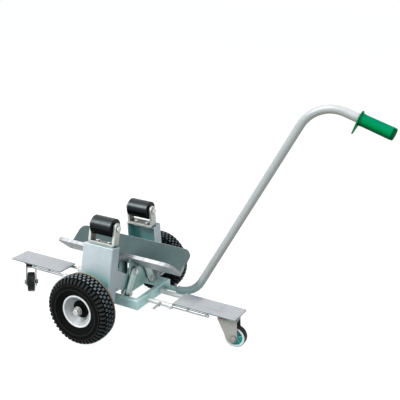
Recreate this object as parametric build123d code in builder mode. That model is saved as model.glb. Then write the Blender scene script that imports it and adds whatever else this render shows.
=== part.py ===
from build123d import *

import os
from math import atan2, cos, radians, sin

# Slab dolly: a low frame on two main wheels and two casters, with a sinking V tray that closes two
# roller towers on the slab, two sliding outrigger arms and a plug-in handle.
# Millimetres. +X points to the handle end, +Y to the far side, +Z up.
# The origin is on the floor, at the middle of the overall length.

# Main wheels and axle
wheel_radius = 130.0
wheel_offset = 145.5
tyre_half_width = 43.0
tyre_wall = 8.0
rim_radius = 60.0
rim_half_width = 30.0
rim_flange = 3.0
rim_edge_round = 1.0
bead_radius = 51.0
bead_lift = 1.0
dish_radius = 33.0
hub_disc_half = 4.0
hub_radius = 17.0
hub_inner = 38.0
hub_outer = 24.0
axle_radius = 10.0
axle_thread_radius = 7.0
axle_tube_wall = 6.0
axle_washer = 3.0
axle_washer_radius = 14.0
axle_nut_flats = 20.0
axle_nut_height = 10.0
running_gap = 0.08
hub_side_gap = 1.0

# Frame of rectangular tube
frame_length = 288.0
frame_width = 238.0
rail_above_axle = 6.0
rail_height = 38.0
rail_width = 20.0
rail_wall = 2.5
rail_corner = 3.0

# Rocking towers: each pivots on the frame and carries the tray on its tray bolts.
# Heights and widths of a tower are measured from its pivot.
pivot_above_rail = 2.0
pivot_inset = 16.0
lever_run = 41.0
lever_rise = 74.0
lever_top_radius = 16.0
lever_foot_radius = 13.0
lever_thickness = 8.0
tower_lean = 10.0
tower_width = 130.0
tower_depth = 45.0
tower_foot_depth = 50.0
tower_top_out = 83.6
tower_top_up = 201.5
tower_height = 215.0
tower_sheet = 4.0
tower_cap = 5.0
tower_fold = 5.0
arm_root_top = (52.0, 108.0)
arm_tip_top = (-20.0, 63.0)
arm_tip_low = (-10.0, 14.0)
arm_mid_low = (21.0, 17.0)
arm_root_low = (60.0, 40.0)
axle_gap_width = 56.0
axle_gap_above = 35.0
plate_gap = 2.0
lug_thickness = 6.0
lug_radius = 18.0
lug_seat = 14.0
lug_drop = 22.0
bolt_radius = 6.0
bolt_flats = 19.0
bolt_head = 8.0
bolt_play = 0.5

# V tray with its brackets, which are measured from the tray bolt
tray_length = 508.0
tray_above_bolt = 6.0
tray_reach = 88.0
tray_rise = 67.0
tray_sheet = 4.0
lining_thickness = 10.0
tray_lip = 1.2
tray_corner = 26.0
slot_play = 1.2
slot_run = 16.0
bracket_top_out = 23.0
bracket_shoulder = (21.0, -15.0)
bracket_waist = (5.0, -29.0)
bracket_foot = (3.0, -83.0)

# Guide under the tray
post_radius = 10.0
post_below_tray = 17.0
sleeve_wall = 6.6
sleeve_below_tray = 43.0
guide_play = 0.4
spring_wire = 1.5
spring_side_gap = 2.5
spring_turns = 4

# Rollers and their yokes, measured from the tower's pivot
roller_out = 37.9
roller_up = 263.7
roller_radius = 35.0
roller_length = 88.0
roller_core_wall = 8.0
roller_side_gap = 3.0
roller_edge_round = 1.5
yoke_bar = 9.0
yoke_width = 32.0
yoke_above_axle = 20.0
yoke_bend = 10.0
yoke_ear_flat = 2.0
yoke_bolt_radius = 5.0
yoke_bolt_flats = 14.0
yoke_bolt_head = 4.0
yoke_bolt_spread = 25.0
yoke_bolt_inset = 2.0

# Outrigger arms, each at rest drawn out of its guides by its own amount
front_arm_out = 0.0
rear_arm_out = 16.0
plate_length = 254.0
plate_width = 100.0
plate_thickness = 5.0
plate_corner = 3.0
plate_rod_gap = 5.5
plate_guide_gap = 3.0
rod_y = 45.0
rod_radius = 5.5
rod_length = 252.0
rod_rail_gap = 4.0
rod_end_chamfer = 1.2
rod_drop = 3.5
saddle_length = 8.0
saddle_width = 10.0
saddle_stations = (61.0, 138.0)
guide_length = 106.0
guide_wall = 2.5
guide_rod_gap = 0.5
collar_length = 6.0
collar_lift = 1.5
strap_width = 12.0
strap_thickness = 6.0
strap_bite = 3.0
strap_overhang = 8.0
clamp_from_rail = 54.0
clamp_boss_radius = 8.0
clamp_boss_length = 7.5
clamp_screw_radius = 4.0
clamp_screw_gap = 0.1
clamp_tip_gap = 0.4
clamp_lever_radius = 4.0
clamp_lever_gap = 5.0
clamp_lever_reach = 16.0
clamp_lever_drop = 17.0
clamp_bar_round = 1.5

# Casters
caster_inset = 62.0
caster_trail = 46.0
caster_radius = 40.0
caster_tread = 5.0
caster_edge_round = 1.5
caster_width = 28.0
caster_core_width = 32.0
caster_web = 7.0
caster_hub_radius = 10.0
caster_rim_wall = 3.0
front_swivel = 4.0
rear_swivel = -52.0
head_length = 96.0
head_width = 76.0
head_thickness = 4.0
race_radius = 26.0
race_height = 5.0
seal_radius = 30.0
seal_height = 6.0
swivel_gap = 0.5
crown_thickness = 5.0
crown_radius = 25.0
fork_sheet = 3.0
fork_front = 22.0
fork_back = 52.0
fork_lip = 4.0
fork_eye_radius = 22.0
fork_eye_inset = 10.0
fork_side_gap = 1.5
kingpin_radius = 6.0
kingpin_head_radius = 11.0
kingpin_head = 4.0
caster_axle_radius = 5.0
caster_nut_flats = 15.0
caster_nut = 7.0
head_bolt_spread_x = 76.0
head_bolt_spread_y = 58.0
head_bolt_radius = 4.0
head_bolt_cap_radius = 7.5
head_bolt_nut_flats = 13.0
head_bolt_nut = 5.0

# Handle: a plug in the frame's socket carries a low run, a long slope and a short fall to the grip
handle_y = 84.0
handle_radius = 15.0
handle_wall = 2.5
handle_socket_gap = 1.0
handle_cap = 4.0
plug_radius = 7.0
plug_rail_gap = 6.0
handle_low_run = 126.0
handle_low_bend = 110.0
handle_slope_run = 416.0
handle_slope_rise = 801.0
handle_top_bend = 125.0
handle_grip_run = 258.0
handle_grip_fall = 80.0
socket_length = 54.0
socket_wall = 2.6
socket_gap = 0.3
lock_from_rail = 44.0
lock_boss_radius = 6.0
lock_boss_height = 4.0
lock_screw_radius = 3.0
lock_head_radius = 4.0
lock_head_height = 8.0
lock_tip_gap = 0.5
grip_length = 118.0
grip_wall = 6.0
grip_end_round = 2.5
grip_end_wall = 6.0
guard_radius = 28.0
guard_thickness = 4.5
guard_tip = 50.0
guard_tip_radius = 5.0
guard_turn = 29.0

# Heights and widths that follow from the sizes above
axle_z = wheel_radius
axle_tube_radius = axle_radius + axle_tube_wall
wheel_mid_y = frame_width / 2 + wheel_offset
rail_top = axle_z + rail_above_axle
rail_mid_y = (frame_width - rail_width) / 2
rail_mid_z = rail_top - rail_height / 2
rail_inner_y = frame_width / 2 - rail_width
pivot_y = rail_inner_y - pivot_inset
pivot_z = rail_top + pivot_above_rail
tray_bolt_y = pivot_y - lever_run
tray_bolt_z = pivot_z + lever_rise
tray_bottom = tray_bolt_z + tray_above_bolt
tower_top_y = pivot_y + tower_top_out
tower_top_z = pivot_z + tower_top_up
tower_half = tower_width / 2
tray_slope = tray_rise / tray_reach
tray_angle = atan2(tray_rise, tray_reach)
tray_sin = sin(tray_angle)
tray_cos = cos(tray_angle)
lean_sin = sin(radians(tower_lean))
lean_cos = cos(radians(tower_lean))
roller_y = pivot_y + roller_out
roller_z = pivot_z + roller_up
roller_core_radius = bolt_radius + running_gap + roller_core_wall
yoke_drop = (tower_top_y - roller_y) * lean_sin - (tower_top_z - roller_z) * lean_cos
yoke_half = roller_length / 2 + roller_side_gap + yoke_bar
lug_x = tower_half + plate_gap
lever_x = lug_x + lug_thickness + plate_gap
lever_face_x = lever_x + lever_thickness
post_top = tray_bottom - post_below_tray
sleeve_bottom = tray_bottom - sleeve_below_tray
sleeve_radius = post_radius + guide_play + sleeve_wall
spring_radius = post_radius + spring_side_gap + spring_wire
rod_z = rail_mid_z - rod_drop
guide_bore = rod_radius + guide_rod_gap
guide_radius = guide_bore + guide_wall
plate_bottom = rod_z + rod_radius + plate_rod_gap
plate_top = plate_bottom + plate_thickness
head_bottom = plate_bottom - head_thickness
race_bottom = head_bottom - race_height
crown_top = race_bottom - swivel_gap - seal_height
crown_bottom = crown_top - crown_thickness
caster_tread_radius = caster_radius - caster_tread
fork_leg_inner = caster_core_width / 2 + fork_side_gap
handle_z = rail_mid_z
socket_bore = plug_radius + socket_gap
socket_radius = socket_bore + socket_wall
lock_boss_top = handle_z + socket_radius + lock_boss_height
grip_radius = handle_radius + grip_wall
grip_angle = -atan2(handle_grip_fall, handle_grip_run)

# Distances ahead of the axle that follow from the sizes above
rail_end = frame_length / 2
guide_end = rail_end + guide_length
plate_inner = guide_end + plate_guide_gap
plate_outer = plate_inner + plate_length
rod_inner = rail_end + rod_rail_gap
caster_x = plate_outer - caster_inset
clamp_x = rail_end + clamp_from_rail
lock_x = rail_end + lock_from_rail
plug_start = rail_end + plug_rail_gap
handle_start = rail_end + socket_length + handle_socket_gap
handle_low_x = rail_end + handle_low_run
handle_top_x = handle_low_x + handle_slope_run
handle_end_x = handle_top_x + handle_grip_run
handle_top_z = handle_z + handle_slope_rise
handle_end_z = handle_top_z - handle_grip_fall

# The axle's place along X puts the origin at the middle of the overall length
axle_x = (plate_outer + rear_arm_out - handle_end_x - grip_radius / 2) / 2

os.makedirs("parts", exist_ok=True)


def save(builder, name):
    """Names a finished piece and writes its STEP file."""
    builder.part.label = name
    export_step(builder.part, f"parts/{name}.step")


def cross_plane(x):
    """Plane across the dolly at a distance ahead of the axle, with local axes along Y and Z."""
    return Plane.YZ.offset(axle_x + x)


def arm_place(end, distance):
    """Place along X of a point on an outrigger arm, as far as the arm is drawn out at rest."""
    drawn_out = front_arm_out if end > 0 else rear_arm_out
    return axle_x + end * (distance + drawn_out)


def lean_point(side, along, inward):
    """Point of a tower's section, down its outer face from the top and inward from that face."""
    y = tower_top_y + along * lean_sin - inward * lean_cos
    z = tower_top_z - along * lean_cos - inward * lean_sin
    return (side * y, z)


def lean_up(side):
    """Direction up along a leaning tower."""
    return Vector(0, -side * lean_sin, lean_cos)


def hex_prism(plane, flats, height, mode=Mode.ADD):
    """Hexagonal head or nut that stands on a plane."""
    with BuildSketch(plane) as outline:
        RegularPolygon(flats / 2, 6, major_radius=False)
    extrude(outline.sketch, amount=height, mode=mode)


def round_bar(plane, radius, height, mode=Mode.ADD):
    """Round bar that stands on a plane."""
    with BuildSketch(plane) as outline:
        Circle(radius)
    extrude(outline.sketch, amount=height, mode=mode)


def cross_bolt(end, y, z, inner_x, outer_x):
    """Bolt along X with its head on the outside and its nut on the inside."""
    direction = (end, 0, 0)
    shank_start = (axle_x + end * inner_x, y, z)
    head_start = (axle_x + end * outer_x, y, z)
    nut_start = (axle_x + end * (inner_x - bolt_head), y, z)
    upright = (0, 0, 1)
    round_bar(Plane(shank_start, upright, direction), bolt_radius, outer_x - inner_x)
    hex_prism(Plane(head_start, upright, direction), bolt_flats, bolt_head)
    hex_prism(Plane(nut_start, upright, direction), bolt_flats, bolt_head)


def lever_outline(side, top_radius, foot_radius):
    """Tapered bar with round ends about the tray bolt and the pivot."""
    with BuildSketch() as outline:
        with Locations((side * tray_bolt_y, tray_bolt_z)):
            Circle(top_radius)
        with Locations((side * pivot_y, pivot_z)):
            Circle(foot_radius)
        make_hull()
    return outline.sketch


def side_rail(side):
    """Side rail with mitred ends and a seat for the axle tube."""
    with BuildPart() as rail:
        with BuildSketch(cross_plane(-rail_end)):
            with Locations((side * rail_mid_y, rail_mid_z)):
                RectangleRounded(rail_width, rail_height, rail_corner)
                Rectangle(
                    rail_width - 2 * rail_wall,
                    rail_height - 2 * rail_wall,
                    mode=Mode.SUBTRACT,
                )
        extrude(amount=frame_length)
        for end in (-1, 1):
            corner = (axle_x + end * rail_end, side * frame_width / 2, 0)
            split(bisect_by=Plane(corner, z_dir=(-end, side, 0)), keep=Keep.TOP)
        with Locations((axle_x, side * rail_mid_y, axle_z)):
            Cylinder(
                axle_tube_radius,
                rail_width + rail_wall,
                rotation=(90, 0, 0),
                mode=Mode.SUBTRACT,
            )
    return rail


def end_rail(end):
    """End rail with mitred ends."""
    mid_x = axle_x + end * (frame_length - rail_width) / 2
    with BuildPart() as rail:
        with BuildSketch(Plane.XZ.offset(-frame_width / 2)):
            with Locations((mid_x, rail_mid_z)):
                RectangleRounded(rail_width, rail_height, rail_corner)
                Rectangle(
                    rail_width - 2 * rail_wall,
                    rail_height - 2 * rail_wall,
                    mode=Mode.SUBTRACT,
                )
        extrude(amount=frame_width)
        for side in (-1, 1):
            corner = (axle_x + end * rail_end, side * frame_width / 2, 0)
            split(bisect_by=Plane(corner, z_dir=(end, -side, 0)), keep=Keep.TOP)
    return rail


def guides(end):
    """Two collared guide tubes on an end rail, with a strap below and a threaded clamp boss."""
    upright = (0, 0, 1)
    strap_bottom = rod_z - guide_radius + strap_bite - strap_thickness
    boss_out = guide_radius + clamp_boss_length
    with BuildPart() as pair:
        with BuildSketch(cross_plane(end * rail_end)):
            with Locations((-rod_y, rod_z), (rod_y, rod_z)):
                Circle(guide_radius)
        extrude(amount=end * guide_length)
        with BuildSketch(cross_plane(end * guide_end)):
            with Locations((-rod_y, rod_z), (rod_y, rod_z)):
                Circle(guide_radius + collar_lift)
        extrude(amount=-end * collar_length)
        strap_mid_x = axle_x + end * (guide_end - strap_width)
        with Locations((strap_mid_x, 0, strap_bottom + strap_thickness / 2)):
            Box(strap_width, 2 * (rod_y + strap_overhang), strap_thickness)
        boss_start = (axle_x + end * clamp_x, -rod_y, rod_z)
        round_bar(
            Plane(boss_start, upright, (0, -1, 0)),
            clamp_boss_radius,
            boss_out,
        )
        round_bar(
            Plane(boss_start, upright, (0, -1, 0)),
            clamp_screw_radius + clamp_screw_gap,
            boss_out,
            Mode.SUBTRACT,
        )
        with BuildSketch(cross_plane(end * rail_end)):
            with Locations((-rod_y, rod_z), (rod_y, rod_z)):
                Circle(guide_bore)
        extrude(amount=end * guide_length, mode=Mode.SUBTRACT)
    return pair


def wheel_plane(side):
    """Section plane of a main wheel: local x runs out from the axle, local y away from the frame."""
    return Plane((axle_x, side * wheel_mid_y, axle_z), (1, 0, 0), (0, 0, side))


wheel_axis = Axis((axle_x, 0, axle_z), (0, 1, 0))


def tyre(side):
    """Hollow tyre, open to the rim between its beads."""
    bead_half = rim_half_width - rim_flange
    bead_top = rim_radius + bead_lift
    belly_radius = (rim_radius + wheel_radius) / 2
    shoulder_radius = wheel_radius - tyre_wall
    shoulder_half = tyre_half_width - tyre_wall
    with BuildPart() as ring:
        with BuildSketch(wheel_plane(side)):
            with BuildLine():
                Polyline((bead_radius, bead_half), (bead_top, bead_half))
                ThreePointArc(
                    (bead_top, bead_half),
                    (belly_radius, tyre_half_width),
                    (shoulder_radius, shoulder_half),
                )
                ThreePointArc(
                    (shoulder_radius, shoulder_half),
                    (wheel_radius, 0),
                    (shoulder_radius, -shoulder_half),
                )
                ThreePointArc(
                    (shoulder_radius, -shoulder_half),
                    (belly_radius, -tyre_half_width),
                    (bead_top, -bead_half),
                )
                Polyline((bead_top, -bead_half), (bead_radius, -bead_half))
                Polyline(
                    (bead_radius, -bead_half), (bead_radius, tyre_wall - bead_half)
                )
                Polyline(
                    (bead_radius, tyre_wall - bead_half),
                    (bead_top, tyre_wall - bead_half),
                )
                ThreePointArc(
                    (bead_top, tyre_wall - bead_half),
                    (belly_radius, tyre_wall - tyre_half_width),
                    (shoulder_radius - tyre_wall, tyre_wall - shoulder_half),
                )
                ThreePointArc(
                    (shoulder_radius - tyre_wall, tyre_wall - shoulder_half),
                    (wheel_radius - tyre_wall, 0),
                    (shoulder_radius - tyre_wall, shoulder_half - tyre_wall),
                )
                ThreePointArc(
                    (shoulder_radius - tyre_wall, shoulder_half - tyre_wall),
                    (belly_radius, tyre_half_width - tyre_wall),
                    (bead_top, bead_half - tyre_wall),
                )
                Polyline(
                    (bead_top, bead_half - tyre_wall),
                    (bead_radius, bead_half - tyre_wall),
                )
                Polyline((bead_radius, bead_half - tyre_wall), (bead_radius, bead_half))
            make_face()
        revolve(axis=wheel_axis)
    return ring


def rim(side):
    """Dished rim: the cone runs from the outer flange down to the hub disc."""
    bead_half = rim_half_width - rim_flange
    cone_top = rim_radius - 2 * rim_flange
    half = [
        (dish_radius, hub_disc_half),
        (dish_radius + rim_flange, hub_disc_half),
        (cone_top, rim_half_width),
        (rim_radius, rim_half_width),
        (rim_radius, bead_half),
        (bead_radius, bead_half),
    ]
    mirrored = [(radius, -across) for radius, across in reversed(half)]
    with BuildPart() as ring:
        with BuildSketch(wheel_plane(side)):
            Polygon(*half, *mirrored, align=None)
        revolve(axis=wheel_axis)
        fillet(
            ring.edges().filter_by(GeomType.CIRCLE).group_by(SortBy.RADIUS)[-1],
            rim_edge_round,
        )
    return ring


def hub(side):
    """Hub tube with the disc that carries the rim, bored to run on the axle shaft."""
    bore = axle_radius + running_gap
    with BuildPart() as tube:
        with BuildSketch(wheel_plane(side)):
            Polygon(
                (bore, -hub_inner),
                (hub_radius, -hub_inner),
                (hub_radius, -hub_disc_half),
                (dish_radius, -hub_disc_half),
                (dish_radius, hub_disc_half),
                (hub_radius, hub_disc_half),
                (hub_radius, hub_outer),
                (bore, hub_outer),
                align=None,
            )
        revolve(axis=wheel_axis)
    return tube


def tower(side):
    """Folded tower: web, two cheeks with bell-crank arms, and cap."""
    arm = [arm_root_top, arm_tip_top, arm_tip_low, arm_mid_low, arm_root_low]
    foot_inner = lean_point(side, tower_height, tower_foot_depth)
    foot_outer = lean_point(side, tower_height, 0)
    reach = 2 * tower_top_y
    with BuildPart() as shell:
        with BuildSketch(cross_plane(0)):
            Polygon(
                lean_point(side, 0, 0),
                lean_point(side, 0, tower_depth),
                *[(side * (pivot_y + out), pivot_z + up) for out, up in arm],
                foot_inner,
                foot_outer,
                align=None,
            )
            add(lever_outline(side, lug_radius, lever_foot_radius))
        extrude(amount=tower_half, both=True)
        with BuildSketch(cross_plane(0)):
            Polygon(
                lean_point(side, tower_cap, tower_sheet),
                lean_point(side, tower_cap, reach),
                lean_point(side, reach, reach),
                lean_point(side, reach, tower_sheet),
                align=None,
            )
        extrude(amount=tower_half - tower_sheet, both=True, mode=Mode.SUBTRACT)
        gap_bottom = foot_inner[1]
        gap_height = axle_z + axle_gap_above - gap_bottom
        with Locations((axle_x, foot_outer[0], gap_bottom + gap_height / 2)):
            Box(axle_gap_width, tower_depth, gap_height, mode=Mode.SUBTRACT)
        with Locations((axle_x, side * pivot_y, pivot_z)):
            Cylinder(
                bolt_radius + running_gap,
                2 * tower_width,
                rotation=(0, 90, 0),
                mode=Mode.SUBTRACT,
            )
        with Locations((axle_x, side * tray_bolt_y, tray_bolt_z)):
            Cylinder(
                bolt_radius, 2 * tower_width, rotation=(0, 90, 0), mode=Mode.SUBTRACT
            )
        upright_edges = shell.edges().filter_by(Axis((0, 0, 0), lean_up(side)))
        fillet(upright_edges.group_by(SortBy.LENGTH)[-1], tower_fold)
        for x in (-yoke_bolt_spread, yoke_bolt_spread):
            round_bar(
                yoke_bolt_plane(side, x, -2 * tower_cap),
                yoke_bolt_radius,
                3 * tower_cap,
                Mode.SUBTRACT,
            )
    return shell


def levers(side):
    """The two flat bars outside a tower's cheeks, from the pivot up to the tray bolt."""
    with BuildPart() as pair:
        for end in (-1, 1):
            with BuildSketch(cross_plane(end * lever_x)):
                add(lever_outline(side, lever_top_radius, lever_foot_radius))
                with Locations((side * pivot_y, pivot_z)):
                    Circle(bolt_radius + running_gap, mode=Mode.SUBTRACT)
                with Locations((side * tray_bolt_y, tray_bolt_z)):
                    Circle(bolt_radius, mode=Mode.SUBTRACT)
            extrude(amount=end * lever_thickness)
    return pair


def yoke_foot(side):
    """Middle of the yoke's underside, where the line down from the roller meets the tower cap."""
    return Vector(axle_x, side * roller_y, roller_z) - lean_up(side) * yoke_drop


def yoke_bolt_plane(side, x, height):
    """Plane on a yoke bolt's axis, at a height above the tower cap."""
    inset = Vector(0, -side * lean_cos, -lean_sin) * yoke_bolt_inset
    origin = yoke_foot(side) + inset + lean_up(side) * height + Vector(x, 0, 0)
    return Plane(origin, (1, 0, 0), lean_up(side))


def yoke(side):
    """Flat bar bent to a U that carries a roller above its tower."""
    face = Plane(yoke_foot(side), (1, 0, 0), Vector(1, 0, 0).cross(lean_up(side)))
    tall = yoke_drop + yoke_above_axle
    with BuildPart() as bar:
        with BuildSketch(face) as section:
            with Locations((0, tall / 2)):
                Rectangle(2 * yoke_half, tall)
            fillet(section.vertices().group_by(Axis.Y)[0], yoke_bend)
            with Locations((0, tall / 2 + yoke_bar)):
                Rectangle(2 * (yoke_half - yoke_bar), tall, mode=Mode.SUBTRACT)
        extrude(amount=yoke_width / 2, both=True)
        ear_tops = bar.edges().filter_by(Axis.X)
        fillet(
            ear_tops.sort_by(Axis((0, 0, 0), lean_up(side)))[-4:],
            (yoke_width - yoke_ear_flat) / 2,
        )
        with Locations((axle_x, side * roller_y, roller_z)):
            Cylinder(
                bolt_radius, 3 * yoke_half, rotation=(0, 90, 0), mode=Mode.SUBTRACT
            )
        for x in (-yoke_bolt_spread, yoke_bolt_spread):
            round_bar(
                yoke_bolt_plane(side, x, -yoke_bar),
                yoke_bolt_radius,
                3 * yoke_bar,
                Mode.SUBTRACT,
            )
    return bar


def tower_bolts(side):
    """Tray bolts through the levers and cheeks, and the bolts that hold the yoke."""
    cheek_inner = tower_half - tower_sheet
    with BuildPart() as bolts:
        for end in (-1, 1):
            cross_bolt(
                end, side * tray_bolt_y, tray_bolt_z, cheek_inner, lever_face_x
            )
        for x in (-yoke_bolt_spread, yoke_bolt_spread):
            nut_height = -tower_cap - yoke_bolt_head
            round_bar(
                yoke_bolt_plane(side, x, nut_height),
                yoke_bolt_radius,
                yoke_bar - nut_height,
            )
            hex_prism(
                yoke_bolt_plane(side, x, nut_height), yoke_bolt_flats, yoke_bolt_head
            )
            hex_prism(
                yoke_bolt_plane(side, x, yoke_bar), yoke_bolt_flats, yoke_bolt_head
            )
    return bolts


def roller_axle(side):
    """Through bolt of a roller, with a head and a nut outside the yoke."""
    start = (axle_x - yoke_half, side * roller_y, roller_z)
    with BuildPart() as bolt:
        round_bar(Plane(start, (0, 0, 1), (1, 0, 0)), bolt_radius, 2 * yoke_half)
        for end in (-1, 1):
            head = (axle_x + end * yoke_half, side * roller_y, roller_z)
            hex_prism(Plane(head, (0, 0, 1), (end, 0, 0)), bolt_flats, bolt_head)
    return bolt


def roller_ring(side, inner, outer):
    """One layer of a roller: the core or the rubber around it."""
    with BuildPart() as ring:
        with BuildSketch(cross_plane(-roller_length / 2)):
            with Locations((side * roller_y, roller_z)):
                Circle(outer)
                Circle(inner, mode=Mode.SUBTRACT)
        extrude(amount=roller_length)
        round_edges = ring.edges().filter_by(GeomType.CIRCLE)
        fillet(round_edges.group_by(SortBy.RADIUS)[-1], roller_edge_round)
    return ring


def v_profile(low, high, reach):
    """Section of the V between two depths inside it, out to a reach along Y."""
    tip = tray_bottom + reach * tray_slope
    points = [
        (0, tray_bottom + low / tray_cos),
        (reach - low * tray_sin, tip + low * tray_cos),
        (reach - high * tray_sin, tip + high * tray_cos),
        (0, tray_bottom + high / tray_cos),
    ]
    mirrored = [(-y, z) for y, z in points[2:0:-1]]
    Polygon(*points, *mirrored, align=None)


def v_sheet(low, high, reach, length, corner):
    """Bent V sheet with rounded outer corners."""
    with BuildPart() as sheet:
        with BuildSketch(cross_plane(0)):
            v_profile(low, high, reach)
        extrude(amount=length / 2, both=True)
        tip_edges = sheet.edges().filter_by(
            lambda edge: abs(edge.length - (high - low)) < 0.01
        )
        fillet(tip_edges, corner)
    return sheet


def outrigger_plate(end):
    """Flat plate of an outrigger arm, drilled for the caster head."""
    middle = (plate_outer + plate_inner) / 2
    with BuildPart() as plate:
        with BuildSketch(Plane.XY.offset(plate_bottom)):
            with Locations((arm_place(end, middle), 0)):
                RectangleRounded(plate_length, plate_width, plate_corner)
        extrude(amount=plate_thickness)
        with Locations((arm_place(end, caster_x), 0, plate_top)):
            with GridLocations(head_bolt_spread_x, head_bolt_spread_y, 2, 2):
                CounterSinkHole(
                    head_bolt_radius,
                    head_bolt_cap_radius,
                    plate_thickness,
                    counter_sink_angle=90,
                )
    return plate


def slide_rods(end):
    """The two rods of an outrigger arm with the saddles that weld them to the plate."""
    saddle_height = plate_bottom - rod_z
    with BuildPart() as rods:
        with BuildSketch(Plane.YZ.offset(arm_place(end, rod_inner))):
            with Locations((-rod_y, rod_z), (rod_y, rod_z)):
                Circle(rod_radius)
        extrude(amount=end * rod_length)
        chamfer(rods.edges(), rod_end_chamfer)
        for station in saddle_stations:
            saddle_x = arm_place(end, plate_inner + station)
            for y in (-rod_y, rod_y):
                with Locations((saddle_x, y, rod_z + saddle_height / 2)):
                    Box(saddle_length, saddle_width, saddle_height)
    return rods


def caster_head(end):
    """Top plate of a caster with its bearing race and kingpin."""
    centre_x = arm_place(end, caster_x)
    with BuildPart() as head:
        with BuildSketch(Plane.XY.offset(head_bottom)):
            with Locations((centre_x, 0)):
                Rectangle(head_length, head_width)
                with GridLocations(head_bolt_spread_x, head_bolt_spread_y, 2, 2):
                    Circle(head_bolt_radius, mode=Mode.SUBTRACT)
        extrude(amount=head_thickness)
        pin_bottom = crown_bottom - swivel_gap
        for bottom, top, radius in (
            (race_bottom, head_bottom, race_radius),
            (pin_bottom, race_bottom, kingpin_radius),
            (pin_bottom - kingpin_head, pin_bottom, kingpin_head_radius),
        ):
            with BuildSketch(Plane.XY.offset(bottom)):
                with Locations((centre_x, 0)):
                    Circle(radius)
            extrude(amount=top - bottom)
    return head


def head_bolts(end):
    """The four flush countersunk bolts of a caster head, with their nuts below."""
    centre_x = arm_place(end, caster_x)
    nut_bottom = head_bottom - head_bolt_nut
    cone_height = head_bolt_cap_radius - head_bolt_radius
    with BuildPart() as bolts:
        with Locations((centre_x, 0, plate_top - cone_height / 2)):
            with GridLocations(head_bolt_spread_x, head_bolt_spread_y, 2, 2):
                Cone(head_bolt_radius, head_bolt_cap_radius, cone_height)
        with BuildSketch(Plane.XY.offset(nut_bottom)):
            with Locations((centre_x, 0)):
                with GridLocations(head_bolt_spread_x, head_bolt_spread_y, 2, 2):
                    Circle(head_bolt_radius)
        extrude(amount=plate_top - nut_bottom)
        with BuildSketch(Plane.XY.offset(nut_bottom)):
            with Locations((centre_x, 0)):
                with GridLocations(head_bolt_spread_x, head_bolt_spread_y, 2, 2):
                    RegularPolygon(head_bolt_nut_flats / 2, 6, major_radius=False)
        extrude(amount=head_bolt_nut)
    return bolts


def trail_plane(end, swivel):
    """Side plane of a swivelled caster: local x runs along the trail, local y up from the floor."""
    trail = Vector(cos(radians(swivel)), sin(radians(swivel)), 0)
    across = trail.cross(Vector(0, 0, 1))
    return Plane((arm_place(end, caster_x), 0, 0), trail, across)


def fork(end, swivel):
    """Caster fork: crown, two legs and the wheel's axle bolt."""
    side_plane = trail_plane(end, swivel)
    leg_outer = fork_leg_inner + fork_sheet
    crown = Plane(side_plane.origin, side_plane.x_dir, (0, 0, 1))
    with BuildPart() as bracket:
        with BuildSketch(crown.offset(crown_bottom)):
            with Locations(((fork_back - fork_front) / 2, 0)):
                Rectangle(fork_back + fork_front, 2 * leg_outer)
            Circle(crown_radius)
        extrude(amount=crown_thickness)
        lip_bottom = crown_bottom - fork_lip
        with BuildSketch(side_plane.offset(-leg_outer)):
            with Locations(((fork_back - fork_front) / 2, (crown_top + lip_bottom) / 2)):
                Rectangle(fork_back + fork_front, crown_top - lip_bottom)
            with Locations((caster_trail - fork_eye_inset, caster_radius)):
                Circle(fork_eye_radius)
            make_hull()
        extrude(amount=2 * leg_outer)
        with BuildSketch(side_plane.offset(-fork_leg_inner)):
            with Locations(((fork_back - fork_front) / 2, crown_bottom / 2)):
                Rectangle(4 * caster_radius, crown_bottom)
        extrude(amount=2 * fork_leg_inner, mode=Mode.SUBTRACT)
        round_bar(
            crown.offset(crown_bottom),
            kingpin_radius + running_gap,
            crown_thickness,
            Mode.SUBTRACT,
        )
        axle = Plane(
            side_plane.from_local_coords((caster_trail, caster_radius, 0)),
            side_plane.x_dir,
            side_plane.z_dir,
        )
        round_bar(axle.offset(-leg_outer), caster_axle_radius, 2 * leg_outer)
        hex_prism(axle.offset(leg_outer), caster_nut_flats, caster_nut)
        hex_prism(axle.offset(-leg_outer - caster_nut), caster_nut_flats, caster_nut)
    return bracket


def swivel_seal(end):
    """Dust ring between the caster head's race and the fork crown."""
    with BuildPart() as ring:
        with BuildSketch(Plane.XY.offset(crown_top)):
            with Locations((arm_place(end, caster_x), 0)):
                Circle(seal_radius)
                Circle(kingpin_radius + running_gap, mode=Mode.SUBTRACT)
        extrude(amount=seal_height)
    return ring


def caster_tyre(end, swivel):
    """Solid tyre of a caster wheel."""
    side_plane = trail_plane(end, swivel)
    with BuildPart() as ring:
        with BuildSketch(side_plane.offset(-caster_width / 2)):
            with Locations((caster_trail, caster_radius)):
                Circle(caster_radius)
                Circle(caster_tread_radius, mode=Mode.SUBTRACT)
        extrude(amount=caster_width)
        round_edges = ring.edges().filter_by(GeomType.CIRCLE)
        fillet(round_edges.group_by(SortBy.RADIUS)[-1], caster_edge_round)
    return ring


def caster_core(end, swivel):
    """Wheel centre: a hub and a rim joined by a thinner web."""
    side_plane = trail_plane(end, swivel)
    bore = caster_axle_radius + running_gap
    rim_inner_radius = caster_tread_radius - caster_rim_wall
    with BuildPart() as core:
        for outer, inner, width in (
            (caster_hub_radius, bore, caster_core_width),
            (rim_inner_radius, caster_hub_radius, caster_web),
            (caster_tread_radius, rim_inner_radius, caster_width),
        ):
            with BuildSketch(side_plane.offset(-width / 2)):
                with Locations((caster_trail, caster_radius)):
                    Circle(outer)
                    Circle(inner, mode=Mode.SUBTRACT)
            extrude(amount=width)
    return core


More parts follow.
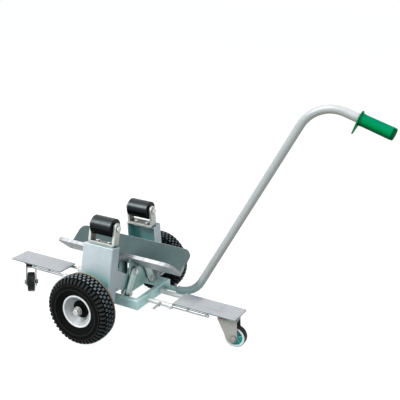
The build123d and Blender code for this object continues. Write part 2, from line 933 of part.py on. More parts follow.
def clamp_screw(end):
    """Screw with a slanting cross bar that pinches a slide rod."""
    tip_y = -(rod_y + rod_radius + clamp_tip_gap)
    lever_y = -(rod_y + guide_radius + clamp_boss_length + clamp_lever_gap + clamp_lever_radius)
    eye_x = axle_x + end * clamp_x
    bar_run = end * clamp_lever_reach
    bar_low = Vector(eye_x - bar_run, lever_y, rod_z - clamp_lever_drop)
    bar_high = Vector(eye_x + bar_run, lever_y, rod_z + clamp_lever_drop)
    bar_span = bar_high - bar_low
    with BuildPart() as screw:
        round_bar(
            Plane((eye_x, tip_y, rod_z), (0, 0, 1), (0, -1, 0)),
            clamp_screw_radius,
            tip_y - lever_y + clamp_lever_radius,
        )
        round_bar(Plane(bar_low, z_dir=bar_span), clamp_lever_radius, bar_span.length)
        bar_ends = screw.edges().filter_by(GeomType.CIRCLE)
        along_bar = Axis((0, 0, 0), bar_span)
        for bar_end in (bar_ends.sort_by(along_bar)[0], bar_ends.sort_by(along_bar)[-1]):
            fillet(bar_end, clamp_bar_round)
    return screw


def handle_path():
    """Centre line of the handle in its upright plane."""
    start = (axle_x + handle_start, handle_y, handle_z)
    low = (axle_x + handle_low_x, handle_y, handle_z)
    top = (axle_x + handle_top_x, handle_y, handle_top_z)
    finish = (axle_x + handle_end_x, handle_y, handle_end_z)
    with BuildLine() as path:
        FilletPolyline(start, low, top, finish, radius=(handle_low_bend, handle_top_bend))
    return path.line


def grip_plane(back):
    """Plane across the grip, a distance back from the handle's end."""
    direction = Vector(cos(grip_angle), 0, sin(grip_angle))
    finish = Vector(axle_x + handle_end_x, handle_y, handle_end_z)
    return Plane(finish - direction * back, (0, 1, 0), direction)


# Frame
for side, name in ((-1, "near_side_rail"), (1, "far_side_rail")):
    save(side_rail(side), name)
for end, name in ((1, "front_end_rail"), (-1, "rear_end_rail")):
    save(end_rail(end), name)
for end, name in ((1, "front_guides"), (-1, "rear_guides")):
    save(guides(end), name)

# Axle tube across the frame, and the upright post that guides the tray
axle_tube_half = wheel_mid_y - hub_inner - hub_side_gap
with BuildPart() as axle_tube:
    with BuildSketch(Plane.XZ.offset(-axle_tube_half)):
        with Locations((axle_x, axle_z)):
            Circle(axle_tube_radius)
            Circle(axle_radius, mode=Mode.SUBTRACT)
    extrude(amount=2 * axle_tube_half)
save(axle_tube, "axle_tube")

with BuildPart() as guide_post:
    with BuildSketch(Plane.XY.offset(axle_z)):
        with Locations((axle_x, 0)):
            Circle(post_radius)
    extrude(amount=post_top - axle_z)
    with Locations((axle_x, 0, axle_z)):
        Cylinder(
            axle_tube_radius,
            3 * post_radius,
            rotation=(90, 0, 0),
            mode=Mode.SUBTRACT,
        )
save(guide_post, "guide_post")

washer_start = wheel_mid_y + hub_outer + hub_side_gap
shaft_half = washer_start + axle_washer + axle_nut_height
with BuildPart() as axle_shaft:
    for half, radius in ((washer_start, axle_radius), (shaft_half, axle_thread_radius)):
        with BuildSketch(Plane.XZ.offset(-half)):
            with Locations((axle_x, axle_z)):
                Circle(radius)
        extrude(amount=2 * half)
save(axle_shaft, "axle_shaft")

with BuildPart() as axle_nuts:
    for side in (-1, 1):
        seat = Plane((axle_x, side * washer_start, axle_z), (1, 0, 0), (0, side, 0))
        round_bar(seat, axle_washer_radius, axle_washer)
        hex_prism(seat.offset(axle_washer), axle_nut_flats, axle_nut_height)
        round_bar(seat, axle_thread_radius, axle_washer + axle_nut_height, Mode.SUBTRACT)
save(axle_nuts, "axle_nuts")

# Pivots of the towers: lugs on the rails and the bolts through them
with BuildPart() as pivot_lugs:
    for end in (-1, 1):
        for side in (-1, 1):
            with BuildSketch(cross_plane(end * lug_x)):
                with Locations((side * pivot_y, pivot_z)):
                    Circle(lug_radius)
                seat = [
                    (side * rail_inner_y, rail_top),
                    (side * (rail_inner_y + lug_seat), rail_top),
                    (side * rail_inner_y, rail_top - lug_drop),
                ]
                Polygon(*seat, align=None)
                make_hull()
                with Locations((side * rail_mid_y, rail_mid_z)):
                    RectangleRounded(
                        rail_width, rail_height, rail_corner, mode=Mode.SUBTRACT
                    )
                with Locations((side * pivot_y, pivot_z)):
                    Circle(bolt_radius, mode=Mode.SUBTRACT)
            extrude(amount=end * lug_thickness)
save(pivot_lugs, "pivot_lugs")

with BuildPart() as pivot_bolts:
    for end in (-1, 1):
        for side in (-1, 1):
            cross_bolt(
                end,
                side * pivot_y,
                pivot_z,
                tower_half - tower_sheet - bolt_play,
                lever_face_x + bolt_play,
            )
save(pivot_bolts, "pivot_bolts")

spring_bottom = axle_z + axle_tube_radius + spring_wire
spring_height = sleeve_bottom - spring_wire - spring_bottom
with BuildPart() as return_spring:
    with BuildLine() as coil:
        Helix(
            spring_height / spring_turns,
            spring_height,
            spring_radius,
            center=(axle_x, 0, spring_bottom),
        )
    with BuildSketch(Plane(coil.line @ 0, z_dir=coil.line % 0)):
        Circle(spring_wire)
    sweep()
save(return_spring, "return_spring")

# Socket of the handle, welded to the front end rail
with BuildPart() as handle_socket:
    with BuildSketch(cross_plane(rail_end)):
        with Locations((handle_y, handle_z)):
            Circle(socket_radius)
    extrude(amount=socket_length)
    round_bar(
        Plane((axle_x + lock_x, handle_y, handle_z)),
        lock_boss_radius,
        lock_boss_top - handle_z,
    )
    round_bar(
        Plane((axle_x + lock_x, handle_y, handle_z)),
        lock_screw_radius + running_gap,
        lock_boss_top - handle_z,
        Mode.SUBTRACT,
    )
    with BuildSketch(cross_plane(rail_end)):
        with Locations((handle_y, handle_z)):
            Circle(socket_bore)
    extrude(amount=socket_length, mode=Mode.SUBTRACT)
save(handle_socket, "handle_socket")

# Main wheels
for side, word in ((-1, "near"), (1, "far")):
    save(tyre(side), f"{word}_tyre")
    save(rim(side), f"{word}_rim")
    save(hub(side), f"{word}_hub")

# V tray: the lining lies in a shallow pan of sheet metal
tray_depth = tray_sheet + lining_thickness
lining = v_sheet(
    tray_sheet,
    tray_depth,
    tray_reach - tray_lip * tray_cos,
    tray_length - 2 * tray_lip,
    tray_corner - tray_lip,
)
save(lining, "tray_lining")
tray = v_sheet(0, tray_depth, tray_reach, tray_length, tray_corner)
with tray:
    add(lining.part, mode=Mode.SUBTRACT)
save(tray, "tray_plate")

with BuildPart() as tray_brackets:
    for end in (-1, 1):
        with BuildSketch(cross_plane(end * lug_x)):
            top_half = tray_bolt_y + bracket_top_out
            right = [(0, tray_bottom), (top_half, tray_bottom + top_half * tray_slope)]
            for out, up in (bracket_shoulder, bracket_waist, bracket_foot):
                right.append((tray_bolt_y + out, tray_bolt_z + up))
            left = [(-y, z) for y, z in right[:0:-1]]
            Polygon(*right, *left, align=None)
            slot_mid = tray_bolt_y - slot_run / 2
            with Locations((-slot_mid, tray_bolt_z), (slot_mid, tray_bolt_z)):
                SlotCenterToCenter(
                    slot_run, 2 * (bolt_radius + slot_play), mode=Mode.SUBTRACT
                )
        extrude(amount=end * lug_thickness)
save(tray_brackets, "tray_brackets")

with BuildPart() as guide_sleeve:
    with BuildSketch(Plane.XY.offset(sleeve_bottom)):
        with Locations((axle_x, 0)):
            Circle(sleeve_radius)
            Circle(post_radius + guide_play, mode=Mode.SUBTRACT)
    extrude(amount=tray_bottom + sleeve_radius - sleeve_bottom)
    cut_half = 2 * sleeve_radius
    cut_top = tray_bottom + cut_half * tray_slope
    with BuildSketch(cross_plane(0)):
        Polygon((0, tray_bottom), (cut_half, cut_top), (-cut_half, cut_top), align=None)
    extrude(amount=cut_half, both=True, mode=Mode.SUBTRACT)
save(guide_sleeve, "guide_sleeve")

# Towers with their rollers
for side, word in ((-1, "near"), (1, "far")):
    save(tower(side), f"{word}_tower")
    save(levers(side), f"{word}_levers")
    save(yoke(side), f"{word}_yoke")
    save(tower_bolts(side), f"{word}_tower_bolts")
    save(roller_axle(side), f"{word}_roller_axle")
    save(
        roller_ring(side, bolt_radius + running_gap, roller_core_radius),
        f"{word}_roller_core",
    )
    save(roller_ring(side, roller_core_radius, roller_radius), f"{word}_roller")

# Outrigger arms with their casters and clamp screws
for end, word, swivel in ((1, "front", front_swivel), (-1, "rear", rear_swivel)):
    save(outrigger_plate(end), f"{word}_plate")
    save(slide_rods(end), f"{word}_rods")
    save(caster_head(end), f"{word}_caster_head")
    save(head_bolts(end), f"{word}_head_bolts")
    save(fork(end, swivel), f"{word}_fork")
    save(swivel_seal(end), f"{word}_seal")
    save(caster_core(end, swivel), f"{word}_caster_core")
    save(caster_tyre(end, swivel), f"{word}_caster_tyre")
    save(clamp_screw(end), f"{word}_clamp_screw")

# Handle with its plug, grip and lock screw
with BuildPart() as handle_tube:
    with BuildSketch(cross_plane(handle_start)):
        with Locations((handle_y, handle_z)):
            Circle(handle_radius)
            Circle(handle_radius - handle_wall, mode=Mode.SUBTRACT)
    sweep(path=handle_path())
    with BuildSketch(cross_plane(handle_start)):
        with Locations((handle_y, handle_z)):
            Circle(handle_radius)
            Circle(plug_radius, mode=Mode.SUBTRACT)
    extrude(amount=handle_cap)
save(handle_tube, "handle_tube")

with BuildPart() as handle_plug:
    with BuildSketch(cross_plane(plug_start)):
        with Locations((handle_y, handle_z)):
            Circle(plug_radius)
    extrude(amount=handle_start + handle_cap - plug_start)
save(handle_plug, "handle_plug")

with BuildPart() as handle_grip:
    with BuildSketch(grip_plane(grip_length)):
        Circle(guard_radius)
        with Locations(Rotation(0, 0, -guard_turn)):
            with Locations((0, -guard_tip)):
                Circle(guard_tip_radius)
        make_hull()
    extrude(amount=guard_thickness)
    with BuildSketch(grip_plane(grip_length - guard_thickness)):
        Circle(grip_radius)
    extrude(amount=grip_length - guard_thickness + grip_end_wall)
    end_edges = handle_grip.edges().filter_by(GeomType.CIRCLE)
    fillet(
        end_edges.sort_by(Axis((0, 0, 0), grip_plane(0).z_dir))[-1], grip_end_round
    )
    with BuildSketch(grip_plane(grip_length)):
        Circle(handle_radius)
    extrude(amount=grip_length, mode=Mode.SUBTRACT)
save(handle_grip, "handle_grip")

# The lock screw is backed off from the plug, which leaves the handle free to slide
lock_tip = handle_z + plug_radius + lock_tip_gap
with BuildPart() as handle_lock:
    round_bar(
        Plane((axle_x + lock_x, handle_y, lock_tip)),
        lock_screw_radius,
        lock_boss_top + bolt_play - lock_tip,
    )
    round_bar(
        Plane((axle_x + lock_x, handle_y, lock_boss_top + bolt_play)),
        lock_head_radius,
        lock_head_height,
    )
save(handle_lock, "handle_lock")
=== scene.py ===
from math import acos, cos, pi, radians, sin, tau

import bmesh
import bpy
from mathutils import Matrix, Vector


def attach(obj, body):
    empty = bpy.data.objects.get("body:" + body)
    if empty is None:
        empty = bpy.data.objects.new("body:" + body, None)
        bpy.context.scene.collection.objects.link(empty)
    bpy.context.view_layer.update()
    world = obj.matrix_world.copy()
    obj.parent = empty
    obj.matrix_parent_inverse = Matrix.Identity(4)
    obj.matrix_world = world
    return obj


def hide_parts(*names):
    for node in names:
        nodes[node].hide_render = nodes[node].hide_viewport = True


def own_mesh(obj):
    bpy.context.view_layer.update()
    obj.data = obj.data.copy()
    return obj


# Slab dolly, in metres, in the same frame as its construction
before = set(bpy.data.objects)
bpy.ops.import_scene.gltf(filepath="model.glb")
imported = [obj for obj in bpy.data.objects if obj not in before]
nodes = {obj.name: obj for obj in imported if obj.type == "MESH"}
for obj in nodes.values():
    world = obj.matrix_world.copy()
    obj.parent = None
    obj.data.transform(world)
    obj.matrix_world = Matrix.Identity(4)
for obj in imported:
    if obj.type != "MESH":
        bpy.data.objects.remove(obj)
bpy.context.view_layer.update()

# Main wheels and frame; x places are measured from the axle
AXLE_X = -0.21575
WHEEL_R = 0.130
WHEEL_Y = 0.2645
RAIL_SIDE = 0.119
RAIL_END = 0.144
ROD_Y = 0.045
ROD_Z = 0.1135

# Beads of weld: radius round each tube, and the bead's own radius
GUIDE_BEAD_R = 0.0088
SOCKET_BEAD_R = 0.0102
AXLE_BEAD_R = 0.0163
THIN_BEAD = 0.0022
THICK_BEAD = 0.0024

# Linkage bolts: reach along x, y and z
TRAY_BOLT = (0.0831, 0.042, 0.212)
PIVOT_BOLT = (0.0832, 0.083, 0.138)

# Tray: where the rubber dip on its end begins
DIP_START = 0.247

# Handle and grip
HANDLE_Y = 0.084
HANDLE_Z = 0.117
HANDLE_RISE = 0.801
GRIP_X = 0.944
GRIP_RUN = 0.258
GRIP_DROP = 0.080

# Casters
CASTER_R = 0.040
CASTER_TRAIL = 0.046
FRONT_KINGPIN = 0.445
FRONT_SWIVEL = 4.0
REAR_KINGPIN = -0.461
REAR_SWIVEL = -52.0

# Return spring
SPRING_FOOT = 0.146
SPRING_HEIGHT = 0.029
SPRING_R = 0.014
SPRING_WIRE = 0.0015
SPRING_TURNS = 4


# Materials

class Finish:
    """A procedural material that is put together from texture nodes."""

    def __init__(self, name, **sockets):
        self.material = bpy.data.materials.new(name)
        self.material.use_nodes = True
        self.tree = self.material.node_tree
        self.shader = self.tree.nodes["Principled BSDF"]
        self.coords = self.tree.nodes.new("ShaderNodeTexCoord").outputs["Object"]
        self.set(**sockets)

    def node(self, kind, inputs=None, **settings):
        """Adds a node; inputs are sockets to link or values to set."""
        made = self.tree.nodes.new(kind)
        for key, value in settings.items():
            setattr(made, key, value)
        for key, value in (inputs or {}).items():
            self.put(made.inputs[key], value)
        return made

    def put(self, socket, value):
        """Links an output socket to a socket, or sets the socket's value."""
        if isinstance(value, bpy.types.NodeSocket):
            self.tree.links.new(value, socket)
        else:
            socket.default_value = value

    def set(self, **sockets):
        """Sets shader inputs by name, with underscores for spaces."""
        for key, value in sockets.items():
            self.put(self.shader.inputs[key.replace("_", " ")], value)

    def paint(self, colour):
        """Takes a colour socket as the base colour, and keeps it for more layers."""
        self.colour = colour
        self.set(Base_Color=colour)

    def stretched(self, x, y, z, turn=(0.0, 0.0, 0.0)):
        """Object coordinates turned and scaled by axis."""
        inputs = {"Vector": self.coords, "Scale": (x, y, z), "Rotation": turn}
        return self.node("ShaderNodeMapping", inputs).outputs[0]

    def noise(self, scale, detail=3.0, coords=None, distortion=0.0):
        """Cloudy pattern from 0 to 1."""
        place = coords or self.coords
        inputs = {"Vector": place, "Scale": scale, "Detail": detail, "Distortion": distortion}
        return self.node("ShaderNodeTexNoise", inputs).outputs["Fac"]

    def cells(self, scale):
        """A random value from 0 to 1 in each cell, like the crystals of a zinc coat."""
        inputs = {"Vector": self.coords, "Scale": scale}
        colour = self.node("ShaderNodeTexVoronoi", inputs).outputs["Color"]
        return self.node("ShaderNodeSeparateColor", {"Color": colour}).outputs["Red"]

    def ramp(self, factor, *stops):
        """Colours along a factor; each stop is a position and a linear colour."""
        made = self.node("ShaderNodeValToRGB", {"Fac": factor})
        points = made.color_ramp.elements
        while len(points) < len(stops):
            points.new(1.0)
        for point, (position, colour) in zip(points, stops):
            point.position = position
            point.color = (*colour, 1.0)
        return made.outputs["Color"]

    def remap(self, value, low, high, start=0.0, end=1.0):
        """Maps a value from start..end to low..high."""
        inputs = {"Value": value, "From Min": start, "From Max": end, "To Min": low, "To Max": high}
        return self.node("ShaderNodeMapRange", inputs).outputs[0]

    def mix(self, factor, first, second):
        """Mixes two colours."""
        made = self.node("ShaderNodeMix", {"Factor": factor}, data_type="RGBA")
        for key, value in (("A", first), ("B", second)):
            self.put(made.inputs[key], (*value, 1.0) if isinstance(value, tuple) else value)
        return made.outputs["Result"]

    def times(self, first, second):
        """Product of two masks."""
        made = self.node("ShaderNodeMath", operation="MULTIPLY")
        self.put(made.inputs[0], first)
        self.put(made.inputs[1], second)
        return made.outputs[0]

    def split(self, vector):
        """The X, Y and Z sockets of a vector socket."""
        return self.node("ShaderNodeSeparateXYZ", {"Vector": vector}).outputs

    def facing(self):
        """X, Y and Z of the direction that the surface faces."""
        return self.split(self.node("ShaderNodeNewGeometry").outputs["Normal"])

    def roughen(self, pattern, low, high):
        """Roughness from low to high over the middle of a pattern."""
        self.set(Roughness=self.remap(pattern, low, high, start=0.3, end=0.7))

    def rounded_edges(self, radius):
        """Rounded normal for sharp edges, and a mask that is 1 on those edges."""
        normal = self.node("ShaderNodeBevel", {"Radius": radius}, samples=6).outputs[0]
        flat = self.node("ShaderNodeNewGeometry").outputs["Normal"]
        likeness = self.node("ShaderNodeVectorMath", operation="DOT_PRODUCT")
        self.put(likeness.inputs[0], normal)
        self.put(likeness.inputs[1], flat)
        return normal, self.remap(likeness.outputs["Value"], 1.0, 0.0, start=0.93, end=0.998)

    def nooks(self, distance, start=0.25, end=0.85):
        """0 in nooks that little light reaches, 1 in the open."""
        made = self.node("ShaderNodeAmbientOcclusion", {"Distance": distance}, samples=8)
        return self.remap(made.outputs["AO"], 0.0, 1.0, start=start, end=end)

    def bump(self, height, strength, distance, normal=None):
        """Surface relief from a height pattern."""
        inputs = {"Height": height, "Strength": strength, "Distance": distance}
        made = self.node("ShaderNodeBump", inputs)
        if normal is not None:
            self.put(made.inputs["Normal"], normal)
        self.set(Normal=made.outputs["Normal"])


def mixed(factor, first, second):
    """Linear colour between two colours."""
    return tuple(a + (b - a) * factor for a, b in zip(first, second))


# Pale colour for sharp edges: partly wear, partly painted highlight
PALE_RIM = (0.90, 0.92, 0.93)
COOL_SHEEN = (0.80, 0.95, 1.0, 1.0)


def zinc_coat(
    name, pale, dark, shade_in_nooks, cell_scale, roughness, metallic, edge, edge_size,
    tinge=None, nook_reach=0.09, nook_end=0.85, rim=PALE_RIM,
):
    """Zinc-coated steel: crystal spangle, cloudy stains, painted shade in nooks, and pale edges that are
    partly wear and partly painted highlight.
    """
    made = Finish(name, Metallic=metallic)
    tinge = tinge or pale
    stains = made.noise(scale=13.0, detail=5.0, coords=made.stretched(1.0, 1.0, 0.55), distortion=0.5)
    coat = made.ramp(made.cells(cell_scale), (0.0, mixed(0.45, dark, pale)), (1.0, pale))
    stained = made.ramp(stains, (0.30, mixed(0.15, dark, pale)), (0.50, pale), (0.68, tinge))
    base = made.mix(0.6, coat, stained)
    # Painted shade: nooks that the ambient occlusion finds take the nook colour
    exposed = made.nooks(nook_reach, end=nook_end)
    with_nook_shade = made.mix(exposed, shade_in_nooks, base)
    normal, mask = made.rounded_edges(edge_size)
    # Sharp edges in the open take the rim colour: a pale rim is partly wear and partly painted highlight, and
    # the tray's dark rim draws dark lines along its edges
    made.paint(made.mix(made.times(exposed, made.remap(mask, 0.0, edge)), with_nook_shade, rim))
    made.roughen(made.noise(scale=40.0), roughness - 0.10, roughness + 0.10)
    made.bump(made.noise(scale=420.0, detail=2.0), strength=0.10, distance=0.0006, normal=normal)
    return made


def smooth_steel(name, pale, dark, roughness, metallic, shine=0.5):
    """Drawn steel tube or bar: smooth, with faint streaks along it."""
    made = Finish(name, Metallic=metallic, Specular_IOR_Level=shine)
    streaks = made.noise(scale=60.0, coords=made.stretched(0.25, 1.0, 0.25))
    clouds = made.noise(scale=5.0, detail=2.0)
    streaked, clouded = [made.ramp(pattern, (0.3, dark), (0.6, pale)) for pattern in (streaks, clouds)]
    made.paint(made.mix(0.5, streaked, clouded))
    made.roughen(streaks, roughness - 0.05, roughness + 0.06)
    made.bump(made.noise(scale=90.0, detail=2.0), strength=0.02, distance=0.0004)
    return made


def rubber(name, dark, dusty, roughness, grain, dust, shine, relief, edge_wear_and_highlight=0.0):
    """Rubber with a fine grain and pale dust in patches."""
    made = Finish(name, Specular_IOR_Level=shine, Specular_Tint=COOL_SHEEN)
    patches = made.noise(scale=16.0, detail=5.0, distortion=0.6)
    fine = made.noise(scale=180.0)
    colour = made.ramp(patches, (0.35, dark), (0.75, mixed(dust, dark, dusty)))
    speckle = made.ramp(fine, (0.35, mixed(0.3, dark, dusty)), (0.65, dark))
    base = made.mix(0.35, colour, speckle)
    normal = None
    # Dusty colour on sharp edges: partly wear, partly painted highlight
    if edge_wear_and_highlight:
        normal, mask = made.rounded_edges(radius=0.0010)
        base = made.mix(made.remap(mask, 0.0, edge_wear_and_highlight), base, dusty)
    made.paint(base)
    made.roughen(patches, roughness - 0.06, roughness + 0.08)
    made.bump(made.noise(grain, detail=2.0), relief, distance=0.0004, normal=normal)
    return made


def plastic(name, colour, shade, roughness, shine):
    """Moulded plastic or paint with faint mottling, a soft sheen and painted shade in nooks."""
    made = Finish(name, Specular_IOR_Level=shine)
    mottle = made.noise(scale=28.0, detail=4.0)
    lit = made.ramp(mottle, (0.3, mixed(0.6, shade, colour)), (0.7, colour))
    # Painted shade: nooks that the ambient occlusion finds take the shade colour
    made.paint(made.mix(made.nooks(distance=0.03, start=0.15, end=0.7), shade, lit))
    made.roughen(mottle, roughness - 0.06, roughness + 0.08)
    made.bump(made.noise(scale=160.0, detail=2.0), strength=0.03, distance=0.0004)
    return made


# Painted shade for the nooks of zinc coats; the towers' teal shade reaches furthest
PAINTED_NOOK_SHADE = (0.014, 0.060, 0.050)
TEAL_NOOK_SHADE = (0.042, 0.360, 0.345)
GREY_NOOK_SHADE = (0.045, 0.050, 0.044)
TOWER_ZINC = zinc_coat(
    "tower zinc", pale=(0.48, 0.555, 0.60), dark=(0.33, 0.44, 0.48), shade_in_nooks=TEAL_NOOK_SHADE, cell_scale=80.0,
    roughness=0.45, metallic=0.18, edge=0.90, edge_size=0.0035,
    tinge=(0.53, 0.545, 0.62), nook_reach=0.16, nook_end=0.66,
)
FRAME_ZINC = zinc_coat(
    "frame zinc", pale=(0.55, 0.83, 0.82), dark=(0.27, 0.50, 0.49), shade_in_nooks=PAINTED_NOOK_SHADE, cell_scale=110.0,
    roughness=0.42, metallic=0.18, edge=0.90, edge_size=0.0035,
)
PLATE_ZINC = zinc_coat(
    "plate zinc", pale=(0.52, 0.54, 0.58), dark=(0.26, 0.29, 0.33), shade_in_nooks=PAINTED_NOOK_SHADE, cell_scale=190.0,
    roughness=0.48, metallic=0.12, edge=0.75, edge_size=0.0025,
)
# Paler than the other zinc coats as painted light, to brighten the levers where the tray shades them
LEVER_ZINC = zinc_coat(
    "lever zinc", pale=(0.74, 0.90, 0.87), dark=(0.46, 0.64, 0.61), shade_in_nooks=PAINTED_NOOK_SHADE, cell_scale=120.0,
    roughness=0.40, metallic=0.15, edge=0.95, edge_size=0.0035, nook_reach=0.03,
)
YOKE_ZINC = zinc_coat(
    "yoke zinc", pale=(0.66, 0.68, 0.64), dark=(0.46, 0.49, 0.45), shade_in_nooks=GREY_NOOK_SHADE, cell_scale=160.0,
    roughness=0.40, metallic=0.15, edge=0.95, edge_size=0.0034,
)
FORK_ZINC = zinc_coat(
    "fork zinc", pale=(0.40, 0.41, 0.38), dark=(0.28, 0.30, 0.27), shade_in_nooks=GREY_NOOK_SHADE, cell_scale=170.0,
    roughness=0.40, metallic=0.15, edge=0.40, edge_size=0.0012,
)
BOLT_ZINC = zinc_coat(
    "bolt zinc", pale=(0.78, 0.80, 0.79), dark=(0.50, 0.54, 0.53), shade_in_nooks=GREY_NOOK_SHADE, cell_scale=200.0,
    roughness=0.30, metallic=0.30, edge=0.90, edge_size=0.0014, nook_reach=0.02,
)
NUT_ZINC = zinc_coat(
    "nut zinc", pale=(0.52, 0.53, 0.52), dark=(0.30, 0.33, 0.33), shade_in_nooks=GREY_NOOK_SHADE, cell_scale=200.0,
    roughness=0.30, metallic=0.40, edge=0.90, edge_size=0.0014, nook_reach=0.04,
)
TRAY_ZINC = zinc_coat(
    "tray zinc", pale=(0.41, 0.44, 0.45), dark=(0.27, 0.31, 0.32), shade_in_nooks=PAINTED_NOOK_SHADE, cell_scale=90.0,
    roughness=0.42, metallic=0.18, edge=0.85, edge_size=0.0018, rim=(0.10, 0.14, 0.14),
)
TUBE_STEEL = smooth_steel(
    "tube steel", pale=(0.41, 0.455, 0.465), dark=(0.36, 0.405, 0.415),
    roughness=0.36, metallic=0.10, shine=0.30,
)
GUIDE_STEEL = smooth_steel(
    "guide steel", pale=(0.70, 0.73, 0.74), dark=(0.60, 0.64, 0.65), roughness=0.40, metallic=0.10,
)
ROD_STEEL = smooth_steel(
    "rod steel", pale=(0.36, 0.38, 0.39), dark=(0.22, 0.25, 0.26), roughness=0.34, metallic=0.60,
)
TYRE = rubber(
    "tyre rubber", dark=(0.0028, 0.0030, 0.0032), dusty=(0.012, 0.012, 0.012),
    roughness=0.66, grain=300.0, dust=0.4, shine=0.03, relief=0.20,
)
TREAD_TOP = rubber(
    "tread with wear and painted light", dark=(0.030, 0.038, 0.042), dusty=(0.120, 0.145, 0.155),
    roughness=0.60, grain=300.0, dust=0.6, shine=0.12, relief=0.20, edge_wear_and_highlight=0.4,
)
SHOULDER = rubber(
    "shoulder bars", dark=(0.011, 0.014, 0.015), dusty=(0.060, 0.070, 0.072),
    roughness=0.62, grain=300.0, dust=0.6, shine=0.10, relief=0.20, edge_wear_and_highlight=0.5,
)
TAN_LINE = rubber(
    "tan tread line", dark=(0.40, 0.24, 0.12), dusty=(0.60, 0.42, 0.26),
    roughness=0.7, grain=300.0, dust=0.5, shine=0.1, relief=0.20,
)
TAN_RING = rubber(
    "tan wall line", dark=(0.045, 0.032, 0.022), dusty=(0.17, 0.11, 0.065),
    roughness=0.7, grain=300.0, dust=0.8, shine=0.1, relief=0.20,
)
SLATE = rubber(
    "slate rubber", dark=(0.060, 0.096, 0.101), dusty=(0.135, 0.180, 0.185),
    roughness=0.58, grain=260.0, dust=0.45, shine=0.20, relief=0.20,
)
ROLLER_RUBBER = rubber(
    "roller rubber", dark=(0.0022, 0.0030, 0.0038), dusty=(0.006, 0.009, 0.011),
    roughness=0.33, grain=340.0, dust=0.4, shine=0.36, relief=0.02,
)
CASTER_RUBBER = rubber(
    "caster rubber", dark=(0.005, 0.0055, 0.006), dusty=(0.05, 0.053, 0.054),
    roughness=0.44, grain=300.0, dust=0.5, shine=0.14, relief=0.15,
)
RIM_EDGE = plastic(
    "rim edge", colour=(0.84, 0.86, 0.87), shade=(0.50, 0.54, 0.55), roughness=0.35, shine=0.4,
)
RIM_PAINT = plastic(
    "rim paint", colour=(0.48, 0.515, 0.54), shade=(0.20, 0.24, 0.25), roughness=0.38, shine=0.3,
)
# Black of the hub, which also stands in as painted shade in the wheel's deep recess
HUB_BLACK_AND_SHADE = plastic(
    "hub black and painted shade", colour=(0.004, 0.005, 0.006), shade=(0.002, 0.0025, 0.003), roughness=0.45, shine=0.04,
)
CASTER_SIDE = plastic(
    "caster side", colour=(0.80, 0.83, 0.85), shade=(0.48, 0.56, 0.57), roughness=0.42, shine=0.35,
)
CASTER_CENTRE = plastic(
    "caster centre", colour=(0.11, 0.62, 0.61), shade=(0.03, 0.40, 0.38), roughness=0.35, shine=0.4,
)
RED = plastic(
    "red seal", colour=(0.36, 0.015, 0.03), shade=(0.20, 0.010, 0.018), roughness=0.45, shine=0.25,
)
# Darker copy of the grip's green: painted shade on the end, which faces away from the key lamp
SHADED_GRIP_END = plastic(
    "green grip end", colour=(0.0, 0.085, 0.026), shade=(0.0, 0.04, 0.012), roughness=0.45, shine=0.04,
)
GREEN = plastic(
    "green grip", colour=(0.0, 0.260, 0.080), shade=(0.0, 0.12, 0.040), roughness=0.40, shine=0.02,
)


def tray_details(made):
    """Saw marks along the tray's upper edges, and rubber dip on the end of its far flank."""
    cut_steel, saw_mark, rubber_dip = (0.36, 0.38, 0.40), (0.26, 0.28, 0.31), (0.085, 0.12, 0.125)
    facing = made.facing()
    place = made.split(made.coords)
    upward = made.remap(facing["Z"], 0.0, 1.0, start=0.40, end=0.55)
    near_side = made.remap(facing["Y"], 1.0, 0.0, start=-0.60, end=-0.40)
    edge = made.times(upward, near_side)
    slanted = made.stretched(1.0, 0.8, 1.0, turn=(0.0, 0.0, 0.9))
    marks = {"Vector": slanted, "Scale": 22.0, "Distortion": 0.6}
    lines = made.node("ShaderNodeTexWave", marks, wave_profile="SIN").outputs["Fac"]
    hatch = made.times(edge, made.remap(lines, 0.0, 0.55, start=0.55, end=0.85))
    hatched = made.mix(hatch, made.mix(edge, made.colour, cut_steel), saw_mark)
    dip_start = AXLE_X + DIP_START
    end = made.remap(place["X"], 0.0, 1.0, start=dip_start, end=dip_start + 0.0015)
    far_flank = made.remap(place["Y"], 0.0, 1.0, start=0.016, end=0.030)
    made.paint(made.mix(made.times(end, far_flank), hatched, rubber_dip))


def sheared_and_shaded_sides(made):
    """Darker colour on the upright sides of a sheared plate: partly bare steel, partly painted shade."""
    bare_steel_and_shade = (0.20, 0.265, 0.275)
    level = made.remap(made.facing()["Z"], 0.0, 1.0, start=0.55, end=0.75)
    made.paint(made.mix(level, bare_steel_and_shade, made.colour))


def painted_top_light(made, top, below):
    """Painted light and shade: paler colour on what faces up, and darker colour on what faces down."""
    upward = made.facing()["Z"]
    lit_top = made.mix(made.remap(upward, 0.0, 1.0, start=0.10, end=0.95), made.colour, top)
    made.paint(made.mix(made.remap(upward, 1.0, 0.0, start=-0.70, end=0.0), lit_top, below))


def painted_teal_reflection(made):
    """Painted reflection of the teal frame on the foot of the handle."""
    teal_reflection = (0.24, 0.45, 0.44)
    height = made.split(made.coords)["Z"]
    low = made.remap(height, 0.8, 0.0, start=HANDLE_Z - 0.01, end=HANDLE_Z + 0.09)
    made.paint(made.mix(low, made.colour, teal_reflection))


def painted_top_sheen(made, low, high):
    """Painted sheen on rubber: little specular level underneath, and more on what faces up."""
    made.set(Specular_IOR_Level=made.remap(made.facing()["Z"], low, high, start=-0.15, end=0.80))


tray_details(TRAY_ZINC)
sheared_and_shaded_sides(PLATE_ZINC)
painted_top_sheen(ROLLER_RUBBER, low=0.02, high=0.60)
# Painted light: the tread tops, the handle tube and the grip are paler where they face up and darker where
# they face down
painted_top_light(TREAD_TOP, top=(0.17, 0.21, 0.225), below=(0.010, 0.012, 0.013))
painted_top_light(TUBE_STEEL, top=(0.66, 0.665, 0.70), below=(0.33, 0.34, 0.29))
painted_teal_reflection(TUBE_STEEL)
painted_top_light(GREEN, top=(0.0, 0.250, 0.125), below=(0.0, 0.085, 0.020))

